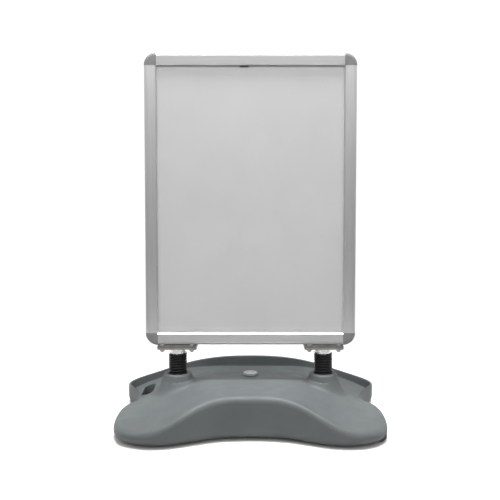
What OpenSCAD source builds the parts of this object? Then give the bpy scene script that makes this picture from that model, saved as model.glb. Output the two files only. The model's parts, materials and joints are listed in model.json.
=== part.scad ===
// Sprung pavement sign: a double-sided snap frame that sways on two coil springs
// above a moulded, water-filled base with two tilt wheels and a hand hole.
// Millimetres. +Z up, front face towards -Y, origin on the ground under the middle of the base.

/* [Snap frame] */
// Outer width of the frame
frame_w = 644; // [600:1:700]
// Outer height of the frame
frame_h = 891; // [800:1:950]
// Height of the frame's lower edge above the ground
frame_z = 239; // [236:1:245]
// Visible width of one snap rail, measured in from the frame's edge
rail_w = 37; // [36:1:42]
// Distance from the frame's middle plane to a snap rail's face
face_y = 15.5; // [15.4:0.1:16]
// Width of the printed sheet
poster_w = 594; // [594:1:594]
// Height of the printed sheet
poster_h = 841; // [841:1:841]

/* [Springs] */
// Distance of each spring from the middle of the sign
spring_x = 225; // [215:1:235]
// Radius to the middle of the spring wire
coil_r = 24.4; // [23.5:0.1:25]
// Diameter of the spring wire
wire_d = 7.6; // [7:0.1:7.8]
// Height gained in one turn of the spring
coil_pitch = 8; // [7.9:0.05:8.2]

/* [Base] */
// Half the width of the base, before its side notches are taken out
base_half_w = 405; // [398:1:410]
// Reach of the front outline, before the middle is drawn in
front_reach = 261.3; // [256:0.1:266]
// Reach of the rear outline, before the middle is drawn in
rear_reach = 253.8; // [249:0.2:259]
// Thickness of the moulded wall
wall = 4; // [3:0.5:5]
// Height of the spring bosses
boss_top = 150; // [148:1:151]

/* [Wheels and filler] */
// Radius of a tilt wheel
wheel_r = 17.5; // [16:0.5:17.5]
// Width of a tilt wheel
wheel_w = 22; // [18:1:22]
// Distance of the wheels from the middle of the sign
wheel_x = 373; // [370:1:375]
// Distance of each wheel from the sign's middle plane
wheel_y = 176; // [172:1:180]
// Distance of the filler cap behind the sign's middle plane
cap_y = 50; // [45:1:55]

/* [Hidden] */
$fn = 48;
gap = 0.05; // clearance of a bolt, insert or axle in its hole
lay = 0.1;  // clearance between pieces that lie against each other

// Base skin: how finely it is divided
around = 80;   // points round the outline
steps_in = 6;  // rings between the rim and the spine
foot_in = 50;  // how far the underside draws in from the outline
foot_up = 32;  // height of that bottom rounding
crest_r = 20;  // radius of the front crest
rim_w = 11;    // width of the rear rim's top
rim_r = 5;     // radius of the rear rim's outer edge

// Frame section, measured in from the frame's edge and out from its middle plane
carrier_u = 18;
carrier_v = 8;
carrier_wall = 1.4;
lip_u = 28;
core_v = 3;
hinge_u = 4;
hinge_v = 10.6;
bead_r = 1.5;
socket_r = 2.7;
rail_t = 1.4;
shoulder_u = 9;
shoulder_v = 12.3;
bevel = 3.6;
inner_v = face_y - 0.9;
frame_mid = frame_z + frame_h / 2;
poster_t = 0.3;
cover_t = 1;
poster_v = core_v + 1.35;
cover_v = poster_v + poster_t + lay;
lip_v = cover_v + cover_t + lay;

// Spring stack, from the boss upwards to the frame
foot_t = 3;
plug_r = coil_r - wire_d / 2 - 0.5;
plug_h = 14;
coil_z = boss_top + foot_t + 0.15;
coil_turns = 7.45;
collar_z = coil_z + coil_turns * coil_pitch + 0.25;
plate_w = 120;
plate_d = 68;
plate_t = 7;
shoe_t = 3;
plate_z = frame_z - shoe_t - plate_t;
plate_bolt_x = 45;
plate_bolt_y = 26;
shoe_screw_x = 20;
insert_r = 11;
insert_z = 102;

wheel_z = wheel_r + 1;
axle_r = 4;
cheek = 10;
hand_x = -335;
hand_y = [100, 165];
hand_r = 17;
neck_z = 128.3;
neck_r = 17;
seal_t = 1.5;

// ---------- base: outline and surface, as functions ----------

function smooth(v, a, b) = let(t = max(0, min(1, (v - a) / (b - a)))) t * t * (3 - 2 * t);
function mix(a, b, t) = a + (b - a) * t;
function bell(x, half, power) = exp(-pow(abs(x) / half, power));

// A rounded rectangle, drawn in at the middle of its long sides and notched at its ends.
function outline(a) = let(
    c = cos(a),
    s = sin(a),
    n = s > 0 ? 7 : 5,
    k = pow(pow(abs(c), n) + pow(abs(s), n), -1 / n),
    x = base_half_w * c * k,
    y = (s > 0 ? rear_reach : front_reach) * s * k,
    draw_in = s > 0 ? 0.235 : 0.3,
    waist = 1 - draw_in * bell(x, 200, 2.9),
    notch = 1 - 0.115 * exp(-pow((y - 85) / 60, 2)),
    flare = 1 + 0.03 * smooth(y, 60, 190) - 0.004 * smooth(-y, 60, 200)
) [x * notch * flare, y * waist];
function spine(a) = [0.76 * base_half_w * cos(a), 0];

// The point that lies d in from the outline, then a further share of the way to the spine.
function inward(a, d, share) = let(
    o = outline(a),
    s = spine(a),
    t = d / norm(s - o)
) o + (s - o) * (t + (1 - t) * share);

function crest_z(x) = 46 + 86 * bell(x, 218, 3.2) - 5 * smooth(abs(x), 335, 408);
function ridge_z(x) = 47 + 81 * bell(x, 312, 6) - 5 * smooth(abs(x), 335, 408);
function rim_z(x) = 50 + 102 * bell(x, 300, 2.6);
function tray_z(x) = 28 + 90 * bell(x, 330, 3.4) - 6 * smooth(abs(x), 283, 303);

// Front lobes climb from the crest to the ridge; behind the ridge the surface drops to the tray.
function top_z(p) = let(
    x = abs(p[0]),
    lobe = mix(crest_z(x), ridge_z(x), pow(smooth(p[1], -260, 40), 0.9)),
    start = mix(20, 15, smooth(x, 150, 250)),
    run = mix(120, 16, smooth(x, 120, 230))
) mix(lobe, min(lobe, tray_z(x)), smooth(p[1], start, start + run));

// 1 where the outline carries the rear rim, 0 round the front lobes.
function rear(a) = smooth(outline(a)[1], 75, 150);
function foot_height(a) = min(foot_up, 0.62 * top_z(inward(a, 16, 0)));
function crest_rise(a) = min(crest_r, top_z(inward(a, 16, 0)) - foot_height(a) - 3);

function foot_point(a, t, inset) = let(p = inward(a, foot_in * (1 - sin(t)) + inset * sin(t), 0))
    [p[0], p[1], foot_height(a) * (1 - cos(t)) + inset * cos(t)];
function crest_point(a, t) = let(
    p = inward(a, mix(crest_r, rim_r, rear(a)) * (1 - cos(t)), 0),
    front = top_z(p) - crest_rise(a) * (1 - sin(t)),
    back = rim_z(p[0]) - rim_r * (1 - sin(t))
) [p[0], p[1], mix(front, back, rear(a))];
function inner_rim_point(a, step, height) = let(
    p = inward(a, mix(crest_r + 3 * step, rim_w + 2.4 * step, rear(a)), 0),
    z = top_z(p)
) [p[0], p[1], mix(z, mix(z, rim_z(p[0]), height), rear(a))];
function deck_point(a, share, inset) = let(
    p = inward(a, mix(crest_r + 10, rim_w + 8, rear(a)), share)
) [p[0], p[1], top_z(p) - inset];

angles = [for (i = [0:around - 1]) 360 * i / around];
outer_rings = concat(
    [for (t = [0:18:90]) [for (a = angles) foot_point(a, t, 0)]],
    [for (t = [0, 25, 50, 70, 90]) [for (a = angles) crest_point(a, t)]],
    [for (s = [[0.3, 1], [1, 0.85], [2, 0.1]]) [for (a = angles) inner_rim_point(a, s[0], s[1])]],
    [for (m = [0:steps_in - 1]) [for (a = angles) deck_point(a, m / steps_in, 0)]]
);

// The cavity follows the skin one wall further in and stays under the rear rim.
function shoulder_point(a, d, share) = let(p = inward(a, d, 0), q = inward(a, 22, 0))
    [p[0], p[1], mix(foot_height(a), min(top_z(p), top_z(q)) - wall, share)];
inner_rings = concat(
    [for (t = [0:30:90]) [for (a = angles) foot_point(a, t, wall)]],
    [for (s = [[wall, 0.5], [wall + 3, 0.8], [wall + 9, 0.95]]) [for (a = angles) shoulder_point(a, s[0], s[1])]],
    [for (m = [0:steps_in - 1]) [for (a = angles) deck_point(a, m / steps_in, wall)]]
);

// Closes a stack of rings along the spine, with the two halves of each ring meeting there.
module skin(rings, floor_z, ceiling_z) {
    n = around;
    count = len(rings);
    half = n / 2;
    top_spine = [for (i = [0:half]) let(s = spine(angles[i])) [s[0], s[1], top_z(s) - ceiling_z]];
    low_spine = [for (i = [0:half]) let(s = spine(angles[i])) [s[0], s[1], floor_z]];
    points = concat([for (r = rings) each r], top_spine, low_spine);
    function at(j, i) = j * n + i % n;
    function fold(i) = let(k = i % n) k <= half ? k : n - k;
    function top_at(i) = count * n + fold(i);
    function low_at(i) = count * n + half + 1 + fold(i);
    walls = [for (j = [0:count - 2], i = [0:n - 1]) each
        [[at(j, i), at(j + 1, i), at(j + 1, i + 1)], [at(j, i), at(j + 1, i + 1), at(j, i + 1)]]];
    caps = [for (i = [0:n - 1]) each [
        [at(count - 1, i), top_at(i), top_at(i + 1)], [at(count - 1, i), top_at(i + 1), at(count - 1, i + 1)],
        [at(0, i), low_at(i + 1), low_at(i)], [at(0, i), at(0, i + 1), low_at(i + 1)]]];
    polyhedron(points, concat(walls, caps));
}

// ---------- base pieces ----------

module at_springs() for (side = [-1, 1]) translate([side * spring_x, 0, 0]) children();
module at_wheels() for (side = [-1, 1]) translate([wheel_x, side * wheel_y, wheel_z]) children();
module across(r, length) rotate([90, 0, 0]) cylinder(r = r, h = length, center = true);
module hand_slot(r) {
    for (y = hand_y) translate([hand_x, y, -5]) cylinder(r = r, h = 130);
    translate([hand_x - r, hand_y[0], -5]) cube([2 * r, hand_y[1] - hand_y[0], 130]);
}
module boss() rotate_extrude() polygon([
    [0, 60], [70, 60], [58, 102], [50, 124], [45, 138], [42.5, 146], [38, boss_top], [0, boss_top]]);

module base_tank() color([0.50, 0.54, 0.55]) difference() {
    union() {
        skin(outer_rings, 0, 0);
        at_springs() boss();
        translate([0, cap_y, neck_z - 20]) cylinder(r = neck_r + 7, h = 20);
    }
    difference() {
        skin(inner_rings, wall, wall);
        at_springs() translate([0, 0, insert_z - 8]) cylinder(r = insert_r + 12, h = boss_top);
        hand_slot(hand_r + wall);
        at_wheels() cube([2 * wheel_r + 14, wheel_w + 2 * cheek + 12, 60], center = true);
    }
    hand_slot(hand_r);
    at_springs() translate([0, 0, insert_z]) cylinder(r = insert_r + gap, h = boss_top);
    translate([0, cap_y, 90]) cylinder(r = neck_r, h = 60);
    at_wheels() {
        across(wheel_r + 2.5, wheel_w + 2);
        translate([-wheel_r - 2.5, -wheel_w / 2 - 1, -wheel_z - 5]) cube([2 * wheel_r + 5, wheel_w + 2, wheel_z + 5]);
        across(axle_r + gap, wheel_w + 2 * cheek);
    }
}
module anchor_inserts() color([0.72, 0.60, 0.32]) at_springs() translate([0, 0, insert_z + lay]) difference() {
    cylinder(r = insert_r, h = boss_top - insert_z - 2 * lay);
    translate([0, 0, 3]) cylinder(r = 6 + gap, h = boss_top);
}
module cap_seal() color([0.1, 0.1, 0.1]) translate([0, cap_y, neck_z + gap]) difference() {
    cylinder(r = neck_r + 4, h = seal_t - 2 * gap);
    translate([0, 0, -1]) cylinder(r = neck_r, h = seal_t + 2);
}
module filler_cap() color([0.58, 0.60, 0.60]) translate([0, cap_y, neck_z + seal_t]) difference() {
    union() {
        cylinder(r = neck_r + 6, h = 2);
        cylinder(r = neck_r + 4.5, h = 5.5);
        translate([0, 0, -14]) cylinder(r = neck_r - 0.3, h = 15);
    }
    for (a = [0:30:330]) rotate([0, 0, a]) translate([neck_r + 6.5, 0, 2]) cylinder(r = 3, h = 5);
    translate([0, 0, 4]) cylinder(r = neck_r - 2, h = 5);
    translate([0, 0, -15]) cylinder(r = neck_r - 3, h = 16);
}
module wheel_axles() color([0.7, 0.7, 0.72]) at_wheels() across(axle_r, wheel_w + 2 * cheek - 2 * lay);
module tilt_wheel(side) color([0.06, 0.06, 0.06]) translate([wheel_x, side * wheel_y, wheel_z]) rotate([90, 0, 0])
    rotate_extrude() polygon([
        [axle_r + gap, -wheel_w / 2], [8, -wheel_w / 2], [8, -wheel_w / 2 + 2], [13, -wheel_w / 2 + 2],
        [13, -wheel_w / 2 + 0.5], [wheel_r - 2, -wheel_w / 2 + 0.5], [wheel_r, -wheel_w / 2 + 3],
        [wheel_r, wheel_w / 2 - 3], [wheel_r - 2, wheel_w / 2 - 0.5], [13, wheel_w / 2 - 0.5],
        [13, wheel_w / 2 - 2], [8, wheel_w / 2 - 2], [8, wheel_w / 2], [axle_r + gap, wheel_w / 2]]);

// ---------- springs and brackets ----------

module hex(r, h) cylinder(r = r, h = h, $fn = 6);
module spring_foot(side) color([0.08, 0.08, 0.08]) translate([side * spring_x, 0, boss_top]) difference() {
    union() {
        cylinder(r = coil_r + wire_d / 2 + 2, h = foot_t);
        cylinder(r = plug_r, h = foot_t + plug_h);
    }
    translate([0, 0, -1]) cylinder(r = 6 + gap, h = 40);
}
module foot_bolts() color([0.7, 0.7, 0.7]) at_springs() {
    translate([0, 0, insert_z + 5]) cylinder(r = 6, h = boss_top + foot_t + plug_h - insert_z - 5);
    translate([0, 0, boss_top + foot_t + plug_h]) hex(10, 7.5);
}
// One coil spring, swept as a ring of points carried up a helix, with both ends ground flat.
module coil_spring(side) {
    sides = 8;
    steps = 24;
    rings = round(coil_turns * steps);
    height = coil_turns * coil_pitch;
    function wire_point(k, j) = let(a = 360 * k / steps, b = 360 * j / sides, r = coil_r + wire_d / 2 * cos(b))
        [r * cos(a), r * sin(a), max(0, min(height, height * k / rings + wire_d / 2 * sin(b)))];
    points = [for (k = [0:rings], j = [0:sides - 1]) wire_point(k, j)];
    faces = concat(
        [for (k = [0:rings - 1], j = [0:sides - 1]) let(a = k * sides, b = (j + 1) % sides) each
            [[a + j, a + b, a + sides + b], [a + j, a + sides + b, a + sides + j]]],
        [for (j = [1:sides - 2]) [2, (3 + j) % sides, (2 + j) % sides]],
        [for (j = [1:sides - 2]) let(e = rings * sides) [e + 6, e + (6 + j) % sides, e + (7 + j) % sides]]);
    color([0.05, 0.05, 0.05]) translate([side * spring_x, 0, coil_z]) polyhedron(points, faces);
}
module spring_collar(side) color([0.85, 0.86, 0.86]) translate([side * spring_x, 0, 0]) difference() {
    union() {
        translate([0, 0, collar_z]) cylinder(r = coil_r, h = plate_z - lay - collar_z);
        translate([0, 0, collar_z - plug_h]) cylinder(r = plug_r, h = plug_h + 1);
    }
    translate([0, 0, collar_z - 30]) cylinder(r = 6 + gap, h = 60);
}
module collar_bolts() color([0.7, 0.7, 0.7]) at_springs() {
    translate([0, 0, collar_z - plug_h]) cylinder(r = 6, h = frame_z - 0.5 - collar_z + plug_h);
    translate([0, 0, collar_z - plug_h - 7.5]) hex(10, 7.5);
}
module collar_nuts() color([0.7, 0.7, 0.7]) at_springs() translate([0, 0, plate_z + 4 + lay]) difference() {
    hex(10.5, 5.5);
    translate([0, 0, -1]) cylinder(r = 6 + gap, h = 9);
}
module at_corners(x, y) for (sx = [-1, 1], sy = [-1, 1]) translate([sx * x, sy * y, 0]) children();
module plate_blank(t) linear_extrude(t) {
    square([plate_w - 10, plate_d], center = true);
    square([plate_w, plate_d - 10], center = true);
    for (sx = [-1, 1], sy = [-1, 1]) translate([sx * (plate_w / 2 - 5), sy * (plate_d / 2 - 5)]) circle(r = 5);
}
module spring_plate(side) color([0.46, 0.45, 0.44]) translate([side * spring_x, 0, plate_z]) difference() {
    plate_blank(plate_t - lay);
    translate([0, 0, -1]) cylinder(r = 6 + gap, h = 20);
    translate([0, 0, 4]) cylinder(r = 11, h = 10);
    at_corners(plate_bolt_x, plate_bolt_y) translate([0, 0, -1]) cylinder(r = 4 + gap, h = 20);
}
// Thin top plate screwed up into the frame; its slots show in front of and behind the frame.
module frame_shoe(side) color([0.30, 0.29, 0.28]) translate([side * spring_x, 0, plate_z + plate_t]) difference() {
    plate_blank(shoe_t - lay);
    translate([0, 0, -1]) cylinder(r = 11, h = 20);
    at_corners(plate_bolt_x, plate_bolt_y) translate([0, 0, -1]) cylinder(r = 4 + gap, h = 20);
    at_corners(16, 25) translate([-6, -3, -1]) cube([12, 6, 10]);
    for (s = [-1, 1]) translate([s * shoe_screw_x, 0, 0]) {
        translate([0, 0, -1]) cylinder(r = 2.5 + gap, h = 10);
        translate([0, 0, -1]) cylinder(r = 4.6, h = 2.4);
    }
}
module plate_bolts() color([0.75, 0.75, 0.75]) at_springs() at_corners(plate_bolt_x, plate_bolt_y) {
    translate([0, 0, plate_z - 8]) cylinder(r = 4, h = frame_z - plate_z + 8);
    translate([0, 0, frame_z]) hex(6.5, 5);
}
module plate_nuts() color([0.75, 0.75, 0.75]) at_springs() at_corners(plate_bolt_x, plate_bolt_y)
    translate([0, 0, plate_z - 6.5 - lay]) difference() {
        hex(7, 6.5);
        translate([0, 0, -1]) cylinder(r = 4 + gap, h = 10);
    }
module at_shoe_screws() at_springs() for (s = [-1, 1]) translate([s * shoe_screw_x, 0, 0]) children();
module shoe_screws() color([0.75, 0.75, 0.75]) at_shoe_screws() {
    translate([0, 0, plate_z + plate_t + lay]) cylinder(r = 4.4, h = 1.2);
    translate([0, 0, plate_z + plate_t + lay]) cylinder(r = 2.5, h = shoe_t + carrier_wall + 5);
}
module tee_nuts() color([0.7, 0.7, 0.7]) at_shoe_screws() translate([0, 0, frame_z + carrier_wall + lay]) difference() {
    translate([-9, -5, 0]) cube([18, 10, 4]);
    translate([0, 0, -1]) cylinder(r = 2.5 + gap, h = 10);
}

// ---------- snap frame ----------

// Stands a section drawn as [in from the edge, out from the middle plane] along one side of the frame.
module on_side(side) {
    if (side == "left") translate([-frame_w / 2, 0, frame_mid]) children();
    if (side == "right") translate([frame_w / 2, 0, frame_mid]) mirror([1, 0, 0]) children();
    if (side == "top") translate([0, 0, frame_z + frame_h]) rotate([0, 90, 0]) children();
    if (side == "bottom") translate([0, 0, frame_z]) rotate([0, -90, 0]) children();
}
function side_length(side) = (side == "left" || side == "right" ? frame_h : frame_w) - 2 * rail_w - 2 * lay;

module carrier_section() {
    difference() {
        translate([0, -carrier_v]) square([carrier_u, 2 * carrier_v]);
        translate([carrier_wall, -carrier_v + carrier_wall])
            square([carrier_u - 2 * carrier_wall, 2 * (carrier_v - carrier_wall)]);
    }
    for (s = [-1, 1]) {
        translate([carrier_u - 0.5, s > 0 ? core_v + lay : -core_v - lay - 1.2]) square([lip_u - carrier_u, 1.2]);
        translate([hinge_u - 0.5, s > 0 ? carrier_v - 0.5 : -hinge_v]) square([1, hinge_v - carrier_v + 0.5]);
        translate([hinge_u, s * hinge_v]) circle(r = bead_r);
    }
}
module carrier(side) color([0.70, 0.71, 0.72]) difference() {
    on_side(side) linear_extrude(side_length(side), center = true) carrier_section();
    if (side == "bottom") at_shoe_screws() translate([0, 0, frame_z - 1]) cylinder(r = 2.5 + gap, h = 3);
}

// The rail hooks round the carrier's bead and rises over a rounded shoulder. Its face then
// slopes gently inwards and turns down at the inner edge to press on the cover.
function arc(r, a, b) = [for (t = [a:(b - a) / 12:b]) [hinge_u + r * cos(t), hinge_v + r * sin(t)]];
function shoulder(du, dv) = [for (t = [0:15:90])
    [shoulder_u - (shoulder_u - 1.9 - du) * cos(t), shoulder_v + (face_y - shoulder_v - dv) * sin(t)]];
module rail_section() {
    outside = shoulder(0, 0);
    inside = shoulder(rail_t + 0.3, rail_t);
    polygon(concat(
        arc(bead_r + 0.06, 140, -50),
        arc(socket_r, -50, 80),
        [for (i = [3:6]) inside[i]],
        [[rail_w - bevel - 0.6, inner_v - rail_t], [rail_w - rail_t, inner_v - bevel - 0.6],
        [rail_w - rail_t, lip_v], [rail_w, lip_v], [rail_w, inner_v - bevel], [rail_w - bevel, inner_v],
        [shoulder_u + 1.4, face_y], [shoulder_u + 1.2, face_y - 0.7], [shoulder_u + 0.2, face_y - 0.7]],
        [for (i = [6:-1:0]) outside[i]]));
}
module snap_rail(side, face) color([0.74, 0.75, 0.76]) mirror([0, face, 0])
    on_side(side) linear_extrude(side_length(side) - 2 * lay, center = true) rail_section();

// Bent leaf clips that hold the snap rails open or shut, two under each rail.
module snap_springs(face) color([0.55, 0.57, 0.6]) mirror([0, face, 0])
    for (side = ["left", "right", "top", "bottom"], s = [-1, 1])
        on_side(side) translate([carrier_u - 5.6, carrier_v + lay, s * side_length(side) / 4])
            linear_extrude(24, center = true) difference() {
                circle(r = 5.4);
                circle(r = 4.8);
                translate([-6, -6]) square([12, 6]);
            }

// Quarter-round corner cap, turned in section like the rails, with a tongue into each carrier.
module corner_block() difference() {
    union() {
        translate([rail_w, 0, rail_w]) rotate([90, 0, 0]) rotate([0, 0, 180]) rotate_extrude(angle = 90)
            polygon(concat(
                [[0, -face_y - 0.3]],
                [for (t = [90:-15:0]) [rail_w - 9 + 9 * cos(t), -shoulder_v - (face_y + 0.3 - shoulder_v) * sin(t)]],
                [for (t = [0:15:90]) [rail_w - 9 + 9 * cos(t), shoulder_v + (face_y + 0.3 - shoulder_v) * sin(t)]],
                [[0, face_y + 0.3]]));
        translate([2, 0.4 + carrier_wall - carrier_v, 20]) cube([14, 2 * (carrier_v - carrier_wall - 0.4), rail_w - 5]);
        translate([20, 0.4 + carrier_wall - carrier_v, 2]) cube([rail_w - 5, 2 * (carrier_v - carrier_wall - 0.4), 14]);
    }
    translate([carrier_u + 0.2, -lip_v, carrier_u + 0.2]) cube([60, 2 * lip_v, 60]);
}
module corner(right, top) color([0.52, 0.53, 0.54]) translate([0, 0, frame_mid])
    mirror([right, 0, 0]) mirror([0, 0, top]) translate([-frame_w / 2, 0, -frame_h / 2]) corner_block();

module sheet(w, h, y, t) translate([-w / 2, y, frame_mid - h / 2]) cube([w, t, h]);
module core_panel() color([0.86, 0.86, 0.85])
    sheet(frame_w - 2 * carrier_u - 1, frame_h - 2 * carrier_u - 1, -core_v, 2 * core_v);
module poster(face) color([0.92, 0.92, 0.91]) mirror([0, face, 0]) sheet(poster_w, poster_h, poster_v, poster_t);
module cover(face) color([0.85, 0.87, 0.88, 0.5]) mirror([0, face, 0]) sheet(poster_w, poster_h, cover_v, cover_t);
module pull_tab() color([0.05, 0.05, 0.05])
    translate([-32, -lip_v - 1.2 + lay, frame_z + frame_h - rail_w - 5.5]) cube([27, 1.2, 5]);

base_tank();
anchor_inserts();
cap_seal();
filler_cap();
wheel_axles();
tilt_wheel(-1);  // wheel_front
tilt_wheel(1);  // wheel_rear
spring_foot(-1);  // spring_foot_left
spring_foot(1);  // spring_foot_right
foot_bolts();
coil_spring(-1);  // spring_left
coil_spring(1);  // spring_right
spring_collar(-1);  // spring_collar_left
spring_collar(1);  // spring_collar_right
collar_bolts();
collar_nuts();
spring_plate(-1);  // spring_plate_left
spring_plate(1);  // spring_plate_right
plate_bolts();
plate_nuts();
frame_shoe(-1);  // frame_shoe_left
frame_shoe(1);  // frame_shoe_right
shoe_screws();
tee_nuts();
carrier("top");  // carrier_top
carrier("bottom");  // carrier_bottom
carrier("left");  // carrier_left
carrier("right");  // carrier_right
corner(0, 1);  // corner_top_left
corner(1, 1);  // corner_top_right
corner(0, 0);  // corner_bottom_left
corner(1, 0);  // corner_bottom_right
core_panel();
poster(1);  // poster_front
poster(0);  // poster_back
cover(1);  // cover_front
cover(0);  // cover_back
pull_tab();
snap_springs(1);  // snap_springs_front
snap_springs(0);  // snap_springs_back
snap_rail("top", 1);  // rail_front_top
snap_rail("bottom", 1);  // rail_front_bottom
snap_rail("left", 1);  // rail_front_left
snap_rail("right", 1);  // rail_front_right
snap_rail("top", 0);  // rail_back_top
snap_rail("bottom", 0);  // rail_back_bottom
snap_rail("left", 0);  // rail_back_left
snap_rail("right", 0);  // rail_back_right
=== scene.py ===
import json
import math

import bmesh
import bpy
import numpy as np
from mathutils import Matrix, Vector


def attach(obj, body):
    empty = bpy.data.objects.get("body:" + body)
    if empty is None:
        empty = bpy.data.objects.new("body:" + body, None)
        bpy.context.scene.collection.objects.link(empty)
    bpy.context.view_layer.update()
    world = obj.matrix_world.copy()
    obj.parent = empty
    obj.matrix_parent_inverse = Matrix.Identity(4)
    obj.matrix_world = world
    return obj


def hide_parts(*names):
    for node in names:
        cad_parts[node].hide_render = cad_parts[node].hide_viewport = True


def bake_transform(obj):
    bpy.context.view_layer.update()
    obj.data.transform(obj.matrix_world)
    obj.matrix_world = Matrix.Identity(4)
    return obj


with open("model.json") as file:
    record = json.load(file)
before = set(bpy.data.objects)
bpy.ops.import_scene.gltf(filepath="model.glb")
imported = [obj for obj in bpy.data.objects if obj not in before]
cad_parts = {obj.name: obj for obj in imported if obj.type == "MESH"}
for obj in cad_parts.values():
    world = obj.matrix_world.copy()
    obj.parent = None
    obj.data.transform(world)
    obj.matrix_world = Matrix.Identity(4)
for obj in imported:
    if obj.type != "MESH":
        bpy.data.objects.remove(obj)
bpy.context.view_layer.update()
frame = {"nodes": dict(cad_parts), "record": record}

MM = 0.001


# ---------- materials ----------

NOISE_SPAN = (0.3, 0.7)      # most values of a noise texture lie in here
# The next two lines set the painted highlight on sharp edges: where it starts and how much it brightens the
# colour.
EDGE_SPAN = (0.54, 0.62)     # pointiness from a slight edge to a sharp one
HIGHLIGHT_GAIN, HIGHLIGHT_LIFT = 1.5, 0.03


def map_range(tree, value, span, result, interpolation="LINEAR"):
    """A node that carries value from span onto result."""
    node = tree.nodes.new("ShaderNodeMapRange")
    node.interpolation_type = interpolation
    node.inputs["From Min"].default_value, node.inputs["From Max"].default_value = span
    node.inputs["To Min"].default_value, node.inputs["To Max"].default_value = result
    tree.links.new(value, node.inputs["Value"])
    return node.outputs["Result"]


def material(name, tones, rough, grain=40.0, stretch=(1, 1, 1), bump=0.1, bump_scale=400.0, depth=0.0002,
             metallic=0.0, alpha=1.0, specular=0.5, edge_highlight=0.0):
    """A finish whose colour, roughness and relief all vary over the surface.

    tones are its two extreme colours and rough its two extreme roughnesses; a nonzero last argument paints a
    highlight on the sharp edges by brightening their colour.
    """
    m = bpy.data.materials.new(name)
    m.use_nodes = True
    tree = m.node_tree
    link = tree.links.new
    shader = tree.nodes["Principled BSDF"]
    shader.inputs["Metallic"].default_value = metallic
    shader.inputs["Alpha"].default_value = alpha
    shader.inputs["Specular IOR Level"].default_value = specular
    where = tree.nodes.new("ShaderNodeTexCoord")
    place = tree.nodes.new("ShaderNodeMapping")
    place.inputs["Scale"].default_value = stretch
    link(where.outputs["Object"], place.inputs["Vector"])

    def noise(scale, detail):
        n = tree.nodes.new("ShaderNodeTexNoise")
        n.inputs["Scale"].default_value = scale
        n.inputs["Detail"].default_value = detail
        link(place.outputs["Vector"], n.inputs["Vector"])
        return n.outputs["Fac"]

    ramp = tree.nodes.new("ShaderNodeValToRGB")
    for stop, position, tone in zip(ramp.color_ramp.elements, NOISE_SPAN, tones):
        stop.position = position
        stop.color = (*tone, 1)
    link(noise(grain, 4), ramp.inputs["Fac"])
    colour = ramp.outputs["Color"]
    # Painted highlight: the sharp edges, picked out by pointiness, are brightened.
    if edge_highlight:
        edge = tree.nodes.new("ShaderNodeNewGeometry")
        highlit = tree.nodes.new("ShaderNodeMix")
        highlit.data_type = "RGBA"
        highlit.inputs["B"].default_value = (*[min(1, c * HIGHLIGHT_GAIN + HIGHLIGHT_LIFT) for c in tones[1]], 1)
        link(map_range(tree, edge.outputs["Pointiness"], EDGE_SPAN, (0, edge_highlight)), highlit.inputs["Factor"])
        link(colour, highlit.inputs["A"])
        colour = highlit.outputs["Result"]
    link(colour, shader.inputs["Base Color"])
    link(map_range(tree, noise(grain * 2.3, 3), NOISE_SPAN, rough), shader.inputs["Roughness"])
    relief = tree.nodes.new("ShaderNodeBump")
    relief.inputs["Strength"].default_value = bump
    relief.inputs["Distance"].default_value = depth
    link(noise(bump_scale, 3), relief.inputs["Height"])
    link(relief.outputs["Normal"], shader.inputs["Normal"])
    return m


def grey(v, warm=0.0):
    return (v * (1 + warm), v, v * (1 - warm))


TANK = material("tank_plastic", ((0.054, 0.059, 0.060), (0.066, 0.072, 0.0725)), (0.52, 0.64), grain=9,
                specular=0.32, bump=0.35, bump_scale=900, depth=0.0002)
CAP = material("cap_plastic", (grey(0.22), grey(0.28)), (0.32, 0.42), grain=60,
               bump=0.15, bump_scale=1500, depth=0.0001)
RUBBER = material("seal_rubber", (grey(0.02), grey(0.03)), (0.6, 0.8), grain=80)
ZINC = material("bolt_zinc", (grey(0.27, 0.05), grey(0.40, 0.03)), (0.28, 0.48), grain=120, metallic=1.0,
                bump=0.2, bump_scale=1500, depth=0.0001)
BRIGHT = material("collar_zinc", (grey(0.66), grey(0.76)), (0.2, 0.32), grain=60, metallic=1.0,
                  bump=0.1, bump_scale=900, depth=0.00005)
# The plate and shoe finishes below paint a highlight on their sharp edges.
PLATE = material("plate_steel", (grey(0.12, 0.07), grey(0.21, 0.05)), (0.38, 0.55), grain=45, metallic=0.85,
                 bump=0.3, bump_scale=700, depth=0.0002, edge_highlight=0.4)
SHOE = material("shoe_steel", (grey(0.06, 0.06), grey(0.11, 0.04)), (0.4, 0.6), grain=45, metallic=0.85,
                bump=0.3, bump_scale=700, depth=0.0002, edge_highlight=0.4)
BRASS = material("insert_brass", ((0.55, 0.40, 0.16), (0.65, 0.48, 0.20)), (0.25, 0.4), grain=90, metallic=1.0)
WHEEL = material("wheel_plastic", (grey(0.018), grey(0.030)), (0.45, 0.62), grain=70, bump=0.3, bump_scale=900)
FOOT = material("foot_plastic", (grey(0.008), grey(0.014)), (0.28, 0.4), grain=70, bump=0.1, bump_scale=900)
SPRING = material("spring_steel", (grey(0.004), grey(0.008)), (0.30, 0.42), grain=90, specular=0.2,
                  bump=0.2, bump_scale=1200, depth=0.0001)
CORNER = material("corner_plastic", (grey(0.115), grey(0.145)), (0.38, 0.5), grain=50,
                  bump=0.3, bump_scale=1200, depth=0.0001)
BOARD = material("core_board", (grey(0.68), grey(0.75)), (0.5, 0.65), grain=30)
PAPER = material("poster_paper", (grey(0.385, 0.006), grey(0.405, 0.006)), (0.6, 0.75), grain=6,
                 bump=0.1, bump_scale=700, depth=0.0001)
COVER = material("cover_clear", (grey(0.56, 0.006), grey(0.60, 0.006)), (0.24, 0.30), grain=4,
                 bump=0.02, bump_scale=60, depth=0.0002, alpha=0.28)
TAB = material("tab_plastic", (grey(0.010), grey(0.016)), (0.4, 0.5), grain=90)
CLIP = material("clip_steel", (grey(0.35), grey(0.45)), (0.25, 0.4), grain=90, metallic=1.0)

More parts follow.
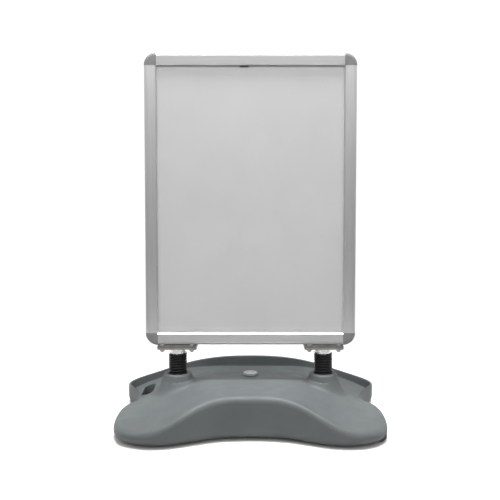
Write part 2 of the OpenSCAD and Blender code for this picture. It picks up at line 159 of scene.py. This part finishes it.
# Extruded bars are brushed along their length, so the noise is drawn out that way.
UPRIGHT, LEVEL = [
    material(name, (grey(0.54), grey(0.62)), (0.30, 0.40), grain=14, stretch=stretch, metallic=1.0,
             bump=0.05, bump_scale=30, depth=0.0001)
    for name, stretch in (("rail_upright", (40, 40, 0.6)), ("rail_level", (0.6, 40, 40)))]

FINISH = {
    "tank_plastic": TANK, "insert_brass": BRASS, "seal_rubber": RUBBER, "cap_plastic": CAP, "bolt_zinc": ZINC,
    "wheel_plastic": WHEEL, "foot_plastic": FOOT, "spring_steel": SPRING, "collar_zinc": BRIGHT,
    "plate_steel": PLATE, "shoe_steel": SHOE, "corner_plastic": CORNER, "core_board": BOARD,
    "poster_paper": PAPER, "cover_clear": COVER, "tab_plastic": TAB, "clip_steel": CLIP,
}


def dress(obj, m):
    obj.data.materials.clear()
    obj.data.materials.append(m)


for part in frame["record"]["subparts"]:
    node = part["node"]
    bar = LEVEL if node.endswith(("top", "bottom")) else UPRIGHT
    dress(frame["nodes"][node], FINISH.get(part["material_slot"], bar))


# ---------- mesh helpers ----------

def soften(obj, sharp):
    """Smooth shading, with the edges that turn by more than sharp degrees kept crisp."""
    bm = bmesh.new()
    bm.from_mesh(obj.data)
    bmesh.ops.recalc_face_normals(bm, faces=bm.faces)
    for f in bm.faces:
        f.smooth = True
    limit = math.radians(sharp)
    for e in bm.edges:
        e.smooth = len(e.link_faces) == 2 and e.calc_face_angle() < limit
    bm.to_mesh(obj.data)
    bm.free()


def piece(name, verts, faces, m, sharp=35.0):
    mesh = bpy.data.meshes.new(name)
    mesh.from_pydata([tuple(v) for v in verts], [], [tuple(f) for f in faces])
    mesh.validate()
    obj = bpy.data.objects.new(name, mesh)
    bpy.context.scene.collection.objects.link(obj)
    mesh.materials.append(m)
    soften(obj, sharp)
    return obj


def lathe(profile, centre, turns=96):
    """Rings of (radius, height) in millimetres round a vertical line."""
    verts = [((centre[0] + r * math.cos(a)) * MM, (centre[1] + r * math.sin(a)) * MM, z * MM)
             for r, z in profile for a in (2 * math.pi * i / turns for i in range(turns))]
    faces = []
    for low in range(0, (len(profile) - 1) * turns, turns):
        for i in range(turns):
            j = (i + 1) % turns
            faces.append([low + i, low + j, low + turns + j, low + turns + i])
    return verts, faces


def loft(rings):
    """A closed skin through rings with the same number of points."""
    n = len(rings[0])
    verts = [v for r in rings for v in r]
    faces = [(j * n + i, j * n + (i + 1) % n, (j + 1) * n + (i + 1) % n, (j + 1) * n + i)
             for j in range(len(rings) - 1) for i in range(n)]
    faces.append(tuple(range(n))[::-1])
    faces.append(tuple((len(rings) - 1) * n + i for i in range(n)))
    return verts, faces


def join(parts):
    verts, faces = [], []
    for v, f in parts:
        n = len(verts)
        verts += list(v)
        faces += [[i + n for i in face] for face in f]
    return verts, faces


def cut(obj, shapes):
    """Takes each closed shape out of obj."""
    tools = [piece("cutter", *shape, TANK) for shape in shapes]
    for tool in tools:
        mod = obj.modifiers.new("cut", "BOOLEAN")
        mod.operation = "DIFFERENCE"
        mod.solver = "EXACT"
        mod.object = tool
    bpy.context.view_layer.update()
    mesh = bpy.data.meshes.new_from_object(obj.evaluated_get(bpy.context.evaluated_depsgraph_get()))
    obj.modifiers.clear()
    obj.data = mesh
    for tool in tools:
        bpy.data.objects.remove(tool)


# ---------- moulded base, in millimetres, with the front towards -y ----------

HALF_W, FRONT, REAR = 405.0, 261.15, 253.8      # reach of the outline before it is drawn in
FRONT_SQUARE, REAR_SQUARE = 5.0, 7.0            # a larger number gives squarer corners
FRONT_WAIST, REAR_WAIST, WAIST_HALF = 0.3, 0.235, 200
NOTCH, NOTCH_Y, NOTCH_RUN = 0.115, 85, 60       # the hollow in each side, behind the front lobe
SPINE = 0.76                                    # half length of the line where the deck closes
FOOT_IN, FOOT_UP = 50.0, 32.0                   # the underside curves in and up by these
CREST_R, RIM_R, RIM_W = 20.0, 5.0, 11.0         # rounding of the crest and the rim, width of the rim

# Each of these heights is low + rise in the middle of the base and falls to low past half.
CREST = {"low": 46, "rise": 86, "half": 218, "power": 3.2}
RIDGE = {"low": 47, "rise": 81, "half": 312, "power": 6}
TRAY = {"low": 28, "rise": 90, "half": 330, "power": 3.4}
RIM = {"low": 50, "rise": 102, "half": 300, "power": 2.6}

# The deck rises round each boss in a skirt: a cone through SKIRT_Z at SKIRT_R, cut flat at SKIRT_TOP.
BOSS_X = 225.0
SKIRT_TOP, SKIRT_R, SKIRT_Z, SKIRT_SLOPE, SKIRT_BLEND = 131, 45, 137, 2.5, 24
BOSS_PROFILE = [(11, 105), (11, 149.6), (11.6, 150), (37.4, 150), (39.2, 149.6), (40.8, 148.4), (42.2, 146.4),
                (43.2, 143.6), (44.6, 139), (47, 132), (50.5, 122.5), (54, 113), (58, 102)]

# Under the cap the deck is flat out to SEAT_R and eases into its own height by SEAT_END.
CAP_Y, SEAT_Z, SEAT_R, SEAT_END = 50.0, 127.8, 25, 34
NECK_PROFILE = [(17, 100), (17, 127.8), (17.5, 128.3), (23, 128.3), (23.8, 128.1), (24, 127.6), (24, 126)]

HOLE_X, HOLE_FRONT, HOLE_REAR = -335, 100, 165
HOLE_PROFILE = [(19, -2), (17, 3), (17, 44), (18.2, 52), (22, 68), (30, 90)]
WHEEL_X, WHEEL_Y, WHEEL_Z = 373.0, 176, 18.5
POCKET_R, POCKET_HALF, POCKET_LOW = 20.0, 12.0, -5.0


def smooth(v, a, b):
    t = np.clip((v - a) / (b - a), 0, 1)
    return t * t * (3 - 2 * t)


def mix(a, b, t):
    return a + (b - a) * t


def bell(x, half, power):
    return np.exp(-((np.abs(x) / half) ** power))


def hump(x, low, rise, half, power):
    return low + rise * bell(x, half, power)


def blend_up(a, b, k):
    """The higher of two surfaces, with the valley between them filled over a height of k."""
    h = np.clip(k - np.abs(a - b), 0, None) / k
    return np.maximum(a, b) + h * h * k / 4


def outline(a):
    """The edge of the base in plan: a rounded rectangle with a waist in each of its four sides."""
    c, s = np.cos(a), np.sin(a)
    n = np.where(s > 0, REAR_SQUARE, FRONT_SQUARE)
    k = (np.abs(c) ** n + np.abs(s) ** n) ** (-1 / n)
    x = HALF_W * c * k
    y = np.where(s > 0, REAR, FRONT) * s * k
    waist = 1 - np.where(s > 0, REAR_WAIST, FRONT_WAIST) * bell(x, WAIST_HALF, 2.9)
    notch = 1 - NOTCH * np.exp(-(((y - NOTCH_Y) / NOTCH_RUN) ** 2))
    flare = 1 + 0.03 * smooth(y, 60, 190) - 0.004 * smooth(-y, 60, 200)
    return np.stack([x * notch * flare, y * waist], -1)


def spine(a):
    return np.stack([SPINE * HALF_W * np.cos(a), np.zeros_like(a)], -1)


def inward(a, d, share):
    """Points d in from the outline, then that share of what is left to the spine."""
    o, s = outline(a), spine(a)
    t = d / np.linalg.norm(s - o, axis=-1)
    return o + (s - o) * (t + (1 - t) * share)[:, None]


def top_z(p):
    """The top surface: a crest along the front that eases into a ridge, then drops to the tray."""
    x, y = np.abs(p[:, 0]), p[:, 1]
    fall = 5 * smooth(x, 335, 408)
    crest = hump(x, **CREST) - fall
    ridge = hump(x, **RIDGE) - fall
    tray = hump(x, **TRAY) - 6 * smooth(x, 283, 303)
    lobe = mix(crest, ridge, smooth(y, -260, 40) ** 0.9)
    start, run = mix(20, 15, smooth(x, 150, 250)), mix(120, 16, smooth(x, 120, 230))
    return mix(lobe, np.minimum(lobe, tray), smooth(y, start, start + run))


def rim_z(x):
    return hump(x, **RIM)


def deck_z(p):
    """The top surface with a skirt round each spring boss and a flat seat under the cap."""
    z = top_z(p)
    for side in (-1, 1):
        r = np.hypot(p[:, 0] - side * BOSS_X, p[:, 1])
        z = blend_up(z, np.minimum(SKIRT_TOP, SKIRT_Z - SKIRT_SLOPE * (r - SKIRT_R)), SKIRT_BLEND)
    r = np.hypot(p[:, 0], p[:, 1] - CAP_Y)
    return mix(SEAT_Z, z, smooth(r, SEAT_R, SEAT_END))


def base_skin(n=480, steps=84, arc=13, drop=11):
    """Rings of n points from the ground up the outside, over the edge and across the deck to the spine."""
    a = 2 * np.pi * np.arange(n) / n
    rear = smooth(outline(a)[:, 1], 75, 150)    # 0 along the front and sides, 1 along the rear rim
    near = top_z(inward(a, 16, 0))
    foot = np.minimum(FOOT_UP, 0.62 * near)
    rise = np.minimum(CREST_R, near - foot - 3)
    quarter = np.radians(np.linspace(0, 90, arc))
    rings = []
    for t in quarter:                           # the underside, curving out to the widest line
        p = inward(a, FOOT_IN * (1 - math.sin(t)), 0)
        rings.append(np.column_stack([p, foot * (1 - math.cos(t))]))
    for t in quarter:                           # the wall, rounded over at the top
        p = inward(a, mix(CREST_R, RIM_R, rear) * (1 - math.cos(t)), 0)
        front = top_z(p) - rise * (1 - math.sin(t))
        back = rim_z(p[:, 0]) - RIM_R * (1 - math.sin(t))
        rings.append(np.column_stack([p, mix(front, back, rear)]))
    for s in np.linspace(0.3, 3.1, drop):       # the rim's inner wall; at the front, more of the deck
        p = inward(a, mix(CREST_R + 3 * s, RIM_W + 2.4 * s, rear), 0)
        z = top_z(p)
        height = 1 - smooth(s, 0.4, 2.8)
        rings.append(np.column_stack([p, mix(z, mix(z, rim_z(p[:, 0]), height), rear)]))
    for m in range(steps + 1):                  # the deck
        p = inward(a, mix(CREST_R + 10, RIM_W + 8, rear), m / steps)
        rings.append(np.column_stack([p, deck_z(p)]))

    # The last ring lies on the spine, where its two halves meet; below it a wall closes the inside.
    count = len(rings) - 1
    half = n // 2
    top_line = rings[-1][:half + 1]
    low_line = top_line.copy()
    low_line[:, 2] = 0
    verts = np.concatenate(rings[:-1] + [top_line, low_line]) * MM
    fold = [i if i <= half else n - i for i in range(n)] + [0]
    top, low, last = count * n, count * n + half + 1, (count - 1) * n
    faces = []
    for j in range(count - 1):
        for i in range(n):
            k = (i + 1) % n
            faces.append((j * n + i, j * n + k, (j + 1) * n + k, (j + 1) * n + i))
    for i in range(n):
        k = (i + 1) % n
        faces.append((last + i, last + k, top + fold[k], top + fold[i]))
        faces.append((k, i, low + fold[i], low + fold[k]))
    return verts, faces


def stadium(x, y0, y1, r, z, turns=24):
    """A slot's outline: two half circles of radius r round (x, y1) and (x, y0)."""
    ring = []
    for start, y in ((0, y1), (math.pi, y0)):
        for i in range(turns + 1):
            a = start + math.pi * i / turns
            ring.append(((x + r * math.cos(a)) * MM, (y + r * math.sin(a)) * MM, z * MM))
    return ring


def wheel_pocket(y, turns=32):
    """An arch over the wheel, open below."""
    angles = [math.pi * i / turns for i in range(turns + 1)]
    ring = [(WHEEL_X + POCKET_R * math.cos(t), WHEEL_Z + POCKET_R * math.sin(t)) for t in angles]
    ring += [(WHEEL_X - POCKET_R, POCKET_LOW), (WHEEL_X + POCKET_R, POCKET_LOW)]
    return loft([[(a * MM, (y + s * POCKET_HALF) * MM, b * MM) for a, b in ring] for s in (-1, 1)])


base = piece("base_moulding", *base_skin(), TANK)
hand_hole = loft([stadium(HOLE_X, HOLE_FRONT, HOLE_REAR, r, z) for r, z in HOLE_PROFILE])
cut(base, [hand_hole, wheel_pocket(-WHEEL_Y), wheel_pocket(WHEEL_Y)])
soften(base, 40)
dress(base, TANK)
turned = [lathe(BOSS_PROFILE, (side * BOSS_X, 0)) for side in (-1, 1)] + [lathe(NECK_PROFILE, (0, CAP_Y))]
bosses = piece("base_bosses", *join(turned), TANK, sharp=50)
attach(base, "base")
bosses.parent = base
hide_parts("base_tank")


# ---------- coil springs ----------

def coil(x, radius=24.4, wire_r=3.8, pitch=8.0, turns=7.45, z0=153.15, sides=16, steps=44):
    """A helix of round wire with both ends ground flat."""
    count = round(turns * steps)
    height = turns * pitch
    verts, faces = [], []
    slope = math.atan2(pitch, 2 * math.pi * radius)
    for k in range(count + 1):
        a = 2 * math.pi * k / steps
        z = height * k / count
        for j in range(sides):
            b = 2 * math.pi * j / sides
            r = radius + wire_r * math.cos(b)
            along = -math.sin(slope) * wire_r * math.sin(b) / radius
            up = min(height, max(0, z + math.cos(slope) * wire_r * math.sin(b)))
            verts.append(((x + r * math.cos(a + along)) * MM, r * math.sin(a + along) * MM, (z0 + up) * MM))
    for k in range(count):
        for j in range(sides):
            i = (j + 1) % sides
            faces.append((k * sides + j, k * sides + i, (k + 1) * sides + i, (k + 1) * sides + j))
    faces.append(tuple(range(sides))[::-1])
    faces.append(tuple(count * sides + j for j in range(sides)))
    return verts, faces


for side, name in ((-1, "left"), (1, "right")):
    spring = piece(f"coil_{name}", *coil(side * BOSS_X), SPRING, sharp=60)
    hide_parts(f"spring_{name}")
    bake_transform(spring)


# ---------- floor, light and camera, in metres ----------

FLOOR_R, FLOOR_SIDES = 1.1, 128
WALL_LOW, WALL_HIGH, BACK = 0.30, 1.15, 1.05    # brightness of the studio's walls


def plain(name, colour, rough):
    m = bpy.data.materials.new(name)
    m.use_nodes = True
    shader = m.node_tree.nodes["Principled BSDF"]
    shader.inputs["Base Color"].default_value = (*colour, 1)
    shader.inputs["Roughness"].default_value = rough
    return m


edge = [(FLOOR_R * math.cos(a), FLOOR_R * math.sin(a), 0)
        for a in (2 * math.pi * i / FLOOR_SIDES for i in range(FLOOR_SIDES))]
floor = piece("floor", edge, [range(FLOOR_SIDES)], plain("floor_paint", (0.58, 0.575, 0.56), 0.9))


def area(name, size, power, place, target, colour=(1, 1, 1)):
    data = bpy.data.lights.new(name, "AREA")
    data.shape = "RECTANGLE"
    data.size, data.size_y = size
    data.energy = power
    data.color = colour
    obj = bpy.data.objects.new(name, data)
    bpy.context.scene.collection.objects.link(obj)
    obj.location = place
    obj.rotation_euler = (Vector(target) - Vector(place)).to_track_quat("-Z", "Y").to_euler()
    return obj


overhead = area("overhead", size=(1.8, 0.9), power=18, place=(0, -0.28, 3.5), target=(0, 0.16, 0.2),
                colour=(0.95, 0.99, 1.0))
overhead.data.spread = math.radians(34)
area("high_front", size=(1.4, 0.3), power=14, place=(0, -0.85, 1.85), target=(0, 0, 1.1))

# The studio is white behind the sign; in front of it the walls are white above and grey below.
world = bpy.data.worlds.new("studio")
world.use_nodes = True
sky = world.node_tree
aim = sky.nodes.new("ShaderNodeTexCoord")
split = sky.nodes.new("ShaderNodeSeparateXYZ")
sky.links.new(aim.outputs["Generated"], split.inputs["Vector"])
walls = map_range(sky, split.outputs["Z"], (-0.02, 0.17), (WALL_LOW, WALL_HIGH), "SMOOTHSTEP")
behind = map_range(sky, split.outputs["Y"], (-0.1, 0.25), (0, 1), "SMOOTHSTEP")
both = sky.nodes.new("ShaderNodeMix")
both.inputs["B"].default_value = BACK
sky.links.new(behind, both.inputs["Factor"])
sky.links.new(walls, both.inputs["A"])
sky.links.new(both.outputs["Result"], sky.nodes["Background"].inputs["Color"])
sky.nodes["Background"].inputs["Strength"].default_value = 1.0
bpy.context.scene.world = world
bpy.context.scene.view_settings.view_transform = "Standard"

lens = bpy.data.cameras.new("camera")
lens.lens = 53.1
lens.sensor_width = 36
lens.shift_x, lens.shift_y = -0.001, -0.100
lens.clip_end = 100
camera = bpy.data.objects.new("camera", lens)
camera.location = (0, -2.255, 0.811)
camera.rotation_euler = (math.radians(90 - 3.2), 0, 0)
bpy.context.scene.collection.objects.link(camera)
bpy.context.scene.camera = camera
